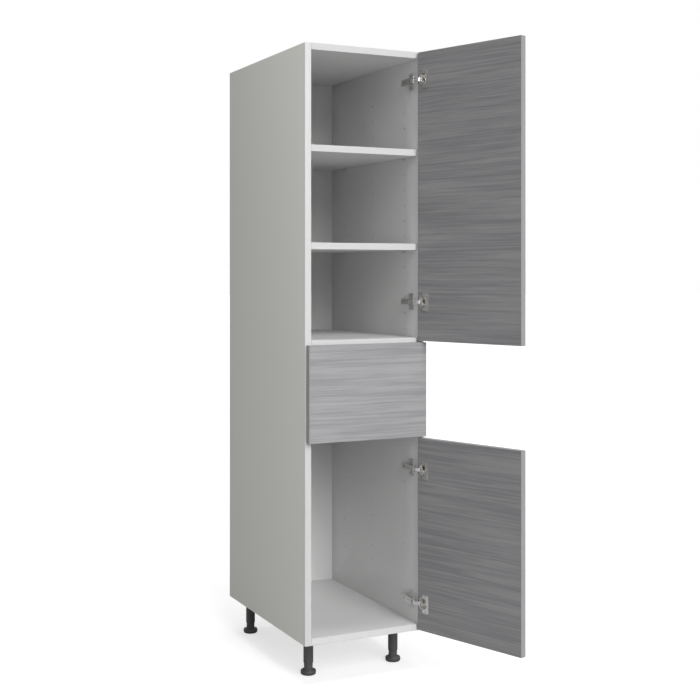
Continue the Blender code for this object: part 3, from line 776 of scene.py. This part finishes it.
# %% Tree: set screws
set_screws, screws_in, screws_out = new_tree("set_screws", {
    "Screw": ("Object", None), "Seed": ("Int", 1), "Finish": ("Material", None)})
head = add_node(set_screws, "GeometryNodeObjectInfo", {"Object": screws_in["Screw"]}).outputs["Geometry"]
facing = add_node(set_screws, "GeometryNodeInputNamedAttribute", {"Name": "facing"},
                  data_type="FLOAT_VECTOR").outputs[0]
aligned = add_node(set_screws, "FunctionNodeAlignRotationToVector", {"Vector": facing}, axis="Z").outputs[0]
turn = add_node(set_screws, "FunctionNodeRandomValue", {2: 0.0, 3: math.tau, "Seed": screws_in["Seed"]},
                data_type="FLOAT").outputs[1]
spin = add_node(set_screws, "FunctionNodeAxisAngleToRotation", {
    "Axis": (0, 0, 1), "Angle": turn}).outputs[0]
rotation = add_node(set_screws, "FunctionNodeRotateRotation", {"Rotation": aligned, "Rotate By": spin},
                    rotation_space="LOCAL").outputs[0]
placed = add_node(set_screws, "GeometryNodeInstanceOnPoints", {
    "Points": screws_in["Geometry"], "Instance": head, "Rotation": rotation}).outputs[0]
end_tree(set_screws, placed, screws_in["Finish"], screws_out)


def marked_points(places):
    """A mesh of loose points, each with the direction its screw faces."""
    mesh = bpy.data.meshes.new("points")
    mesh.from_pydata([tuple(point) for point, _ in places], [], [])
    facing = mesh.attributes.new("facing", "FLOAT_VECTOR", "POINT")
    facing.data.foreach_set("vector", [c for _, direction in places for c in direction])
    return mesh


def add_screws(name, body, screw, places, seed, finish=screw_steel):
    mesh = run_tree(marked_points(places), set_screws, Screw=screw, Seed=seed, Finish=finish)
    shade(mesh)
    print(f"{name}: {len(places)} screws, {len(mesh.polygons)} faces")
    return add_piece(name, mesh, body)


print("tree", set_screws.name)

# %% [markdown]
# ## Hinges
#
# A concealed hinge has a cup let into the door, an arm clipped to a plate on the cabinet, and links
# between them. The arm is a folded channel: its top has a slot, so that the door can be moved in
# and out, and two screws. Copying the frame's arm, cutting the slots and rounding the folds keeps
# the fit and adds what makes it read as a pressing.

# %% Refined hinge pieces
UP = Vector((0, 0, 1))
SWING = Matrix.Rotation(DOOR_OPEN, 3, "Z")
hinge_heights = {}
for door in ("upper_door", "lower_door"):
    for place in ("top", "bottom"):
        low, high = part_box(f"{door}_{place}_hinge_plate")
        hinge_heights[f"{door}_{place}"] = (low.z + high.z) / 2


def copy_of(node, bevel, cutters=(), segments=2):
    """A merged copy of a frame node with pockets cut and its corners rounded."""
    bm = bmesh.new()
    bm.from_mesh(nodes[node].data)
    copy = scratch_object(mesh_from(bm, node + "_copy"), node + "_copy")
    for cutter in cutters:
        cut = copy.modifiers.new(cutter.name, "BOOLEAN")
        cut.operation, cut.solver, cut.object = "DIFFERENCE", "EXACT", cutter
    rounding = copy.modifiers.new("rounding", "BEVEL")
    rounding.width, rounding.segments, rounding.limit_method = bevel, segments, "ANGLE"
    rounding.angle_limit = math.radians(40)
    flats = copy.modifiers.new("flat_faces", "WEIGHTED_NORMAL")
    flats.keep_sharp = True
    mesh = plain_mesh(copy)
    for cutter in cutters:
        bpy.data.objects.remove(cutter)
    return mesh


def slot_cutter(name, centre, length, width, depth):
    """A round-ended slot that runs along Y and cuts along X."""
    half = length / 2 - width / 2
    outline = round_corner((half, 0), width / 2, -90, 90, 6)
    outline += round_corner((-half, 0), width / 2, 90, 270, 6)
    bm = bmesh.new()
    pull_out(bm, [(centre[0] - depth, centre[1] + a, centre[2] + b) for a, b in outline], (2 * depth, 0, 0))
    return scratch_object(mesh_from(bm, name), name)


ARM_TOP = INNER_RIGHT - 0.0157
for hinge, height in hinge_heights.items():
    slots = [slot_cutter("rear_slot", (ARM_TOP, FRONT + 0.056, height), 0.0130, 0.0062, 0.004),
             slot_cutter("front_hole", (ARM_TOP, FRONT + 0.031, height), 0.0085, 0.0066, 0.004)]
    arm = copy_of(hinge + "_hinge_arm", 0.0004, slots)
    add_piece(hinge + "_hinge_arm_pressed", arm, "carcass",
              replaces=[hinge + "_hinge_arm"], material=nickel)
    plate = copy_of(hinge + "_hinge_plate", 0.0005)
    add_piece(hinge + "_hinge_plate_cast", plate, "carcass",
              replaces=[hinge + "_hinge_plate"], material=zinc)
    link = copy_of(hinge + "_hinge_link", 0.0003)
    add_piece(hinge + "_hinge_link_pressed", link, hinge + "_link",
              replaces=[hinge + "_hinge_link"], material=nickel)
    cup = copy_of(hinge + "_hinge_cup", 0.0003, segments=1)
    add_piece(hinge + "_hinge_cup_drawn", cup, hinge.rsplit("_", 1)[0],
              replaces=[hinge + "_hinge_cup"], material=nickel)
    print(hinge, "arm", len(arm.polygons), "plate", len(plate.polygons), "cup", len(cup.polygons), "faces")

# %% [markdown]
# The plate is screwed to the side through its two wings, the arm carries a fixing screw in its slot
# and an adjusting screw in front of it, and the cup is screwed to the door through its ears.

# %% Hinge screws
towards_left = Vector((-1, 0, 0))
door_inward = SWING @ Vector((0, 1, 0))
WING_SCREW, EAR_SCREW = 0.0185, 0.0222            # above and below the hinge's middle
REAR_SCREW, FRONT_SCREW = FRONT + 0.0565, FRONT + 0.031
EAR_PLACE = Vector((-0.0228, 0.0131, 0))          # from the door's axis, with the door closed
carcass_screws, arm_screws = [], []
cup_screws = {"upper_door": [], "lower_door": []}
for hinge, height in hinge_heights.items():
    door = hinge.rsplit("_", 1)[0]
    for lift in (-WING_SCREW, WING_SCREW):
        carcass_screws.append((Vector((INNER_RIGHT - 0.0035, FRONT + 0.0365, height + lift)), towards_left))
    for along in (REAR_SCREW, FRONT_SCREW):
        arm_screws.append((Vector((ARM_TOP + 0.0010, along, height)), towards_left))
    ear = Vector(joints[door + "_hinge"]["pos_m"]) + SWING @ EAR_PLACE
    for lift in (-EAR_SCREW, EAR_SCREW):
        cup_screws[door].append((Vector((ear.x, ear.y, height + lift)), door_inward))
add_screws("hinge_plate_screws", "carcass", flat_head, carcass_screws, 3)
add_screws("hinge_arm_screws", "carcass", flat_head, arm_screws, 4)
for door, places in cup_screws.items():
    add_screws(door + "_cup_screws", door, flat_head, places, 5)

# %% [markdown]
# ## Legs
#
# A levelling leg is three mouldings: a socket screwed under the cabinet, a tube pushed into it, and
# a foot that screws up and down inside the tube. All are round, so the lathe is the natural way to
# make them. The foot's neck has a coarse thread, made as one continuous ridge that climbs the neck:
# a ring of short profiles, each a little higher than the last, joined into a strip.

# %% Turned legs
SIDES = 64


def thread_ridge(bm, radius, low, high, pitch, depth, move, sides=32):
    """A raised helix round a neck, with pointed ends that sink into it."""
    turns = (high - low) / pitch
    steps = int(turns * sides)
    rows = []
    for i in range(steps + 1):
        angle = math.tau * i / sides
        fade = min(1.0, i / (sides * 0.5), (steps - i) / (sides * 0.5))
        level = low + pitch * i / sides
        inner, outer = radius - 0.0004, radius - 0.0002 + (depth + 0.0002) * fade
        section = [(inner, -pitch * 0.34), (outer, -pitch * 0.12),
                   (outer, pitch * 0.12), (inner, pitch * 0.34)]
        rows.append([bm.verts.new(move @ Vector((r * math.cos(angle), r * math.sin(angle), level + dz)))
                     for r, dz in section])
    for first, second in zip(rows, rows[1:]):
        for k in range(4):
            bm.faces.new([first[k], second[k], second[(k + 1) % 4], first[(k + 1) % 4]])
    bm.faces.new(rows[0])
    bm.faces.new(list(reversed(rows[-1])))


def foot_mesh(node, move, height, neck_top, radius=0.0225, neck=0.0126):
    """The foot: a rounded disc, a collar ring at the root of the neck, and the threaded neck."""
    bm = bmesh.new()
    profile = [(0, 0.0012), (radius - 0.0085, 0.0012), (radius - 0.0075, 0.0)]
    profile += round_corner((radius - 0.0050, 0.0046), 0.0046, -88, -20, 6) + [(radius, 0.0060)]
    profile += round_corner((radius - 0.0030, height - 0.0030), 0.0030, 0, 90, 6)
    profile += [(0.0178, height), (0.0172, height - 0.0014), (0.0152, height - 0.0014),
                (0.0146, height + 0.0002), (neck + 0.0008, height + 0.0008), (neck, height + 0.0018),
                (neck, neck_top - 0.001), (neck - 0.001, neck_top), (0, neck_top)]
    lathe(bm, profile, SIDES, move)
    thread_ridge(bm, neck, height + 0.006, neck_top - 0.004, 0.0042, 0.0003, move)
    return mesh_from(bm, node)


def tube_mesh(node, move, low, high, radius=0.0143, bore=0.0131):
    """The tube: straight, with a rounded lip that narrows towards the foot, closed at the top."""
    bm = bmesh.new()
    profile = [(0, high), (radius - 0.0006, high), (radius, high - 0.0006), (radius, low + 0.0050),
               (radius - 0.0002, low + 0.0028), (radius - 0.0005, low + 0.0010),
               (radius - 0.0008, low + 0.0002), (radius - 0.0010, low), (bore, low),
               (bore, high - 0.004), (0, high - 0.004)]
    lathe(bm, profile, SIDES, move)
    return mesh_from(bm, node)


SOCKET_SCREW_CIRCLE, SOCKET_PLATE = 0.0255, 0.003
FOOT_HEIGHT = 0.0135
socket_screws = []
for row in ("front", "rear"):
    for hand in ("left", "right"):
        leg = f"{row}_{hand}_leg"
        low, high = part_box(leg + "_foot")
        move = Matrix.Translation(((low.x + high.x) / 2, (low.y + high.y) / 2, 0))
        foot = foot_mesh(leg + "_foot", move, FOOT_HEIGHT, high.z)
        add_piece(leg + "_foot_turned", foot, leg + "_foot",
                  replaces=[leg + "_foot"], material=leg_plastic)
        low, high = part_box(leg + "_tube")
        tube = tube_mesh(leg + "_tube", move, low.z, high.z)
        add_piece(leg + "_tube_turned", tube, "carcass",
                  replaces=[leg + "_tube"], material=leg_plastic)
        low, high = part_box(leg + "_socket")
        for quarter in range(4):
            angle = math.pi / 4 + quarter * math.pi / 2
            spot = move @ (SOCKET_SCREW_CIRCLE * Vector((math.cos(angle), math.sin(angle), 0)))
            socket_screws.append((Vector((spot.x, spot.y, high.z - SOCKET_PLATE)), -UP))
print("legs turned;", len(socket_screws), "socket screws placed")

# %% [markdown]
# The socket is a flat flange with a sleeve. Moulded sockets are stiffened with thin webs between
# flange and sleeve. They repeat around the axis, so a tree sets one web on each point of a circle.

# %% Tree: socket webs
socket_webs, webs_in, webs_out = new_tree("socket_webs", {
    "Web": ("Object", None), "Count": ("Int", 8), "Radius": ("Float", 0.0173),
    "Finish": ("Material", None)})
web_shape = add_node(socket_webs, "GeometryNodeObjectInfo", {"Object": webs_in["Web"]}).outputs["Geometry"]
circle = add_node(socket_webs, "GeometryNodeMeshCircle", {
    "Vertices": webs_in["Count"], "Radius": webs_in["Radius"]}).outputs[0]
spot = add_node(socket_webs, "GeometryNodeInputPosition").outputs[0]
outwards = add_node(socket_webs, "FunctionNodeAlignRotationToVector", {"Vector": spot}, axis="X").outputs[0]
webs = add_node(socket_webs, "GeometryNodeInstanceOnPoints", {
    "Points": circle, "Instance": web_shape, "Rotation": outwards}).outputs[0]
both = add_node(socket_webs, "GeometryNodeJoinGeometry")
socket_webs.links.new(webs_in["Geometry"], both.inputs[0])
socket_webs.links.new(webs, both.inputs[0])
end_tree(socket_webs, both.outputs[0], webs_in["Finish"], webs_out)

# %% Sockets
bm = bmesh.new()
corners = [(-0.0005, -0.0003), (0.0132, -0.0003), (0.0118, -0.0030),
           (0.0005, -0.0180), (-0.0005, -0.0180)]
pull_out(bm, [(x, -0.0009, z) for x, z in corners], (0, 0.0018, 0))
web_object = scratch_object(mesh_from(bm, "web"), "web")
for row in ("front", "rear"):
    for hand in ("left", "right"):
        leg = f"{row}_{hand}_leg"
        low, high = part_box(leg + "_socket")
        under = high.z - SOCKET_PLATE
        bm = bmesh.new()
        lathe(bm, [(0, SOCKET_PLATE), (0.0312, SOCKET_PLATE), (0.0320, SOCKET_PLATE - 0.0008),
                   (0.0320, 0.0006), (0.0314, 0.0), (0.0195, 0.0), (0.0179, -0.0016),
                   (0.0175, -0.0214), (0.0169, -0.0220), (0.0146, -0.0220), (0.0146, 0.0), (0, 0.0)], SIDES)
        mesh = run_tree(mesh_from(bm, leg + "_socket"), socket_webs, Web=web_object, Count=8,
                        Radius=0.0173, Finish=leg_plastic)
        mesh.transform(Matrix.Translation(((low.x + high.x) / 2, (low.y + high.y) / 2, under)))
        shade(mesh)
        add_piece(leg + "_socket_webbed", mesh, "carcass", replaces=[leg + "_socket"])
bpy.data.objects.remove(web_object)
add_screws("socket_screws", "carcass", pan_head, socket_screws, 7)

# %% [markdown]
# ## Drawer runners
#
# Each runner is three nested channels of rolled steel that slide on rows of steel balls. The balls
# sit in a thin cage. When the drawer is shut they are hidden, but with the drawer open they show as
# a bright dotted line, so a tree strings them along the cage.

# %% Runners
for hand in ("left", "right"):
    for member, body in (("cabinet", "carcass"), ("middle", hand + "_runner_middle"), ("drawer", "drawer")):
        node = f"{hand}_runner_{member}_member"
        mesh = copy_of(node, 0.0003)
        add_piece(f"{hand}_runner_{member}_rolled", mesh, body,
                  replaces=[node], material=zinc)

ball_row, balls_in, balls_out = new_tree("ball_row", {
    "Count": ("Int", 12), "Spacing": ("Float", 0.016), "Radius": ("Float", 0.0017),
    "Finish": ("Material", None)})
gap = add_node(ball_row, "ShaderNodeCombineXYZ", {1: balls_in["Spacing"]}).outputs[0]
string = add_node(ball_row, "GeometryNodeMeshLine", {"Count": balls_in["Count"], "Offset": gap},
                  mode="OFFSET").outputs[0]
ball = add_node(ball_row, "GeometryNodeMeshIcoSphere", {
    "Radius": balls_in["Radius"], "Subdivisions": 3}).outputs[0]
ball = add_node(ball_row, "GeometryNodeSetShadeSmooth", {0: ball}).outputs[0]
balls = add_node(ball_row, "GeometryNodeInstanceOnPoints", {"Points": string, "Instance": ball}).outputs[0]
both = add_node(ball_row, "GeometryNodeJoinGeometry")
ball_row.links.new(balls_in["Geometry"], both.inputs[0])
ball_row.links.new(balls, both.inputs[0])
end_tree(ball_row, both.outputs[0], balls_in["Finish"], balls_out)


def cage_strip(width, length):
    """A thin strip with clipped corners, starting at the origin and running along Y."""
    bm = bmesh.new()
    outline = [(-width / 2, 0.001), (-width / 2 + 0.001, 0), (width / 2 - 0.001, 0), (width / 2, 0.001),
               (width / 2, length - 0.001), (width / 2 - 0.001, length), (-width / 2 + 0.001, length),
               (-width / 2, length - 0.001)]
    pull_out(bm, [(x, y - 0.008, -0.0002) for x, y in outline], (0, 0, 0.0004))
    return mesh_from(bm, "cage_strip")


BALLS, BALL_SPACING = 13, 0.016
for hand, inwards, wall in (("left", 1, INNER_LEFT), ("right", -1, INNER_RIGHT)):
    low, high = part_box(hand + "_runner_middle_member")
    level = (low.z + high.z) / 2
    cages = bmesh.new()
    for reach, offset, start in ((0.0072, 0.0194, 0.272), (0.0085, 0.0144, 0.020)):
        for side in (-1, 1):
            row = run_tree(cage_strip(0.0030, BALLS * BALL_SPACING), ball_row, Count=BALLS,
                           Spacing=BALL_SPACING, Radius=0.0016, Finish=screw_steel)
            row.transform(Matrix.Translation(
                (wall + inwards * reach, low.y + start, level + side * offset)))
            cages.from_mesh(row)
    mesh = bpy.data.meshes.new(hand + "_ball_cages")
    cages.to_mesh(mesh)
    cages.free()
    add_piece(hand + "_ball_cages", mesh, hand + "_runner_middle",
              material=screw_steel)
    print(hand, "ball cages:", len(mesh.polygons), "faces")

# %% [markdown]
# ## Remaining screws
#
# The cabinet members of the runners are screwed to the sides, the drawer members to the drawer, the
# laminate front is screwed on from inside the drawer, and the thin back is screwed to the boards
# it meets.

# %% Runner, drawer and back screws
runner_places = {"carcass": [], "drawer": []}
for hand, inwards, wall in (("left", 1, INNER_LEFT), ("right", -1, INNER_RIGHT)):
    low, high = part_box(hand + "_runner_cabinet_member")
    level = (low.z + high.z) / 2
    for along in (0.035, 0.225, 0.455):
        runner_places["carcass"].append(
            (Vector((wall + inwards * 0.0015, low.y + along, level)), Vector((inwards, 0, 0))))
        runner_places["drawer"].append(
            (Vector((wall + inwards * 0.0115, low.y + along + 0.012, level)), Vector((-inwards, 0, 0))))
add_screws("runner_wall_screws", "carcass", flat_head, runner_places["carcass"], 11)
add_screws("runner_drawer_screws", "drawer", flat_head, runner_places["drawer"], 12)

low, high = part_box("drawer_inner_front")
front_places = [(Vector((x, high.y, z)), Vector((0, 1, 0)))
                for x in (low.x + 0.035, high.x - 0.035) for z in (low.z + 0.050, high.z - 0.040)]
add_screws("drawer_front_screws", "drawer", pan_head, front_places, 13)

back_places = []
for node in ("bottom_panel", "drawer_deck", "top_panel"):
    low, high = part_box(node)
    for x in (low.x + 0.030, (low.x + high.x) / 2, high.x - 0.030):
        back_places.append((Vector((x, back_high.y, (low.z + high.z) / 2)), Vector((0, 1, 0))))
add_screws("back_panel_screws", "carcass", flat_head, back_places, 14)
for scratch in (flat_head, pan_head):
    bpy.data.objects.remove(scratch)

# %% [markdown]
# ## Shelf pins
#
# The frame already has the collared pins at their true size. They only need their plating.

# %% Pins
for name in nodes:
    if "_pin_" in name:
        dress(name, zinc)
print("pins plated:", sum("_pin_" in name for name in nodes))

# %% [markdown]
# ## Studio
#
# The cabinet stands on a pale, seamless floor in soft light. A very wide sun from the front and
# above is the key light; its size, not its power, makes the shadows soft. The surroundings give an
# even fill. To the camera the surroundings are white, as in a product studio, but they light the
# cabinet with less, so that its left side keeps some shape. Polished metal mirrors its
# surroundings, and looks flat in an even studio, so mirrors see a bright wall at the front right
# and a dim one at the back left.

# %% Floor and light
FILL = 0.31
bm = bmesh.new()
lathe(bm, [(0, -0.02), (60.0, -0.02), (60.0, 0.0), (0, 0.0)], 64)
floor = scratch_object(mesh_from(bm, "floor"), "floor")
floor_finish, tree, shader, place = new_material("floor_paper", 0.9)
seen = add_node(tree, "ShaderNodeLightPath").outputs["Is Camera Ray"]
paper = use_group(tree, uneven_tone, Vector=place, Colour=(0.60, 0.60, 0.60, 1), Amount=0.02, Scale=0.8)
connect(tree, shader, Base_Color=blend_colours(tree, seen, (0.50, 0.50, 0.50, 1), paper["Colour"]),
        Emission_Strength=maths(tree, "MULTIPLY", seen, 0.60))
shader.inputs["Emission Color"].default_value = (1, 1, 1, 1)
floor.data.materials.append(floor_finish)

world = bpy.data.worlds.new("studio")
bpy.context.scene.world = world
world.use_nodes = True
tree = world.node_tree
tree.nodes.clear()
path = add_node(tree, "ShaderNodeLightPath").outputs
heading = add_node(tree, "ShaderNodeTexCoord").outputs["Generated"]
rightwards = add_node(tree, "ShaderNodeVectorMath", {0: heading, 1: (0.85, -0.52, 0.0)},
                      operation="DOT_PRODUCT").outputs["Value"]
mirrored = add_node(tree, "ShaderNodeMapRange", {
    "Value": rightwards, "From Min": 0.0, "From Max": 0.7, "To Min": FILL, "To Max": 1.15}).outputs[0]
strength = FILL
for ray, seen in (("Is Glossy Ray", mirrored), ("Is Camera Ray", 1.0)):
    strength = add_node(tree, "ShaderNodeMix", {"Factor": path[ray], "A": strength, "B": seen}).outputs[0]
glow = add_node(tree, "ShaderNodeBackground", {"Color": (1, 1, 1, 1), "Strength": strength})
add_node(tree, "ShaderNodeOutputWorld", {"Surface": glow.outputs[0]})


def add_sun(name, strength, size, heading, height):
    """A sun that comes from a compass heading (0 is the front) and a height, in degrees."""
    data = bpy.data.lights.new(name, "SUN")
    data.energy, data.angle = strength, math.radians(size)
    sun = bpy.data.objects.new(name, data)
    sun.rotation_euler = (math.radians(90 - height), 0, math.radians(heading))
    bpy.context.scene.collection.objects.link(sun)
    return sun


add_sun("key", 2.05, 40, 2, 29)
add_sun("overhead", 0.9, 20, 0, 86)

print("studio lit")
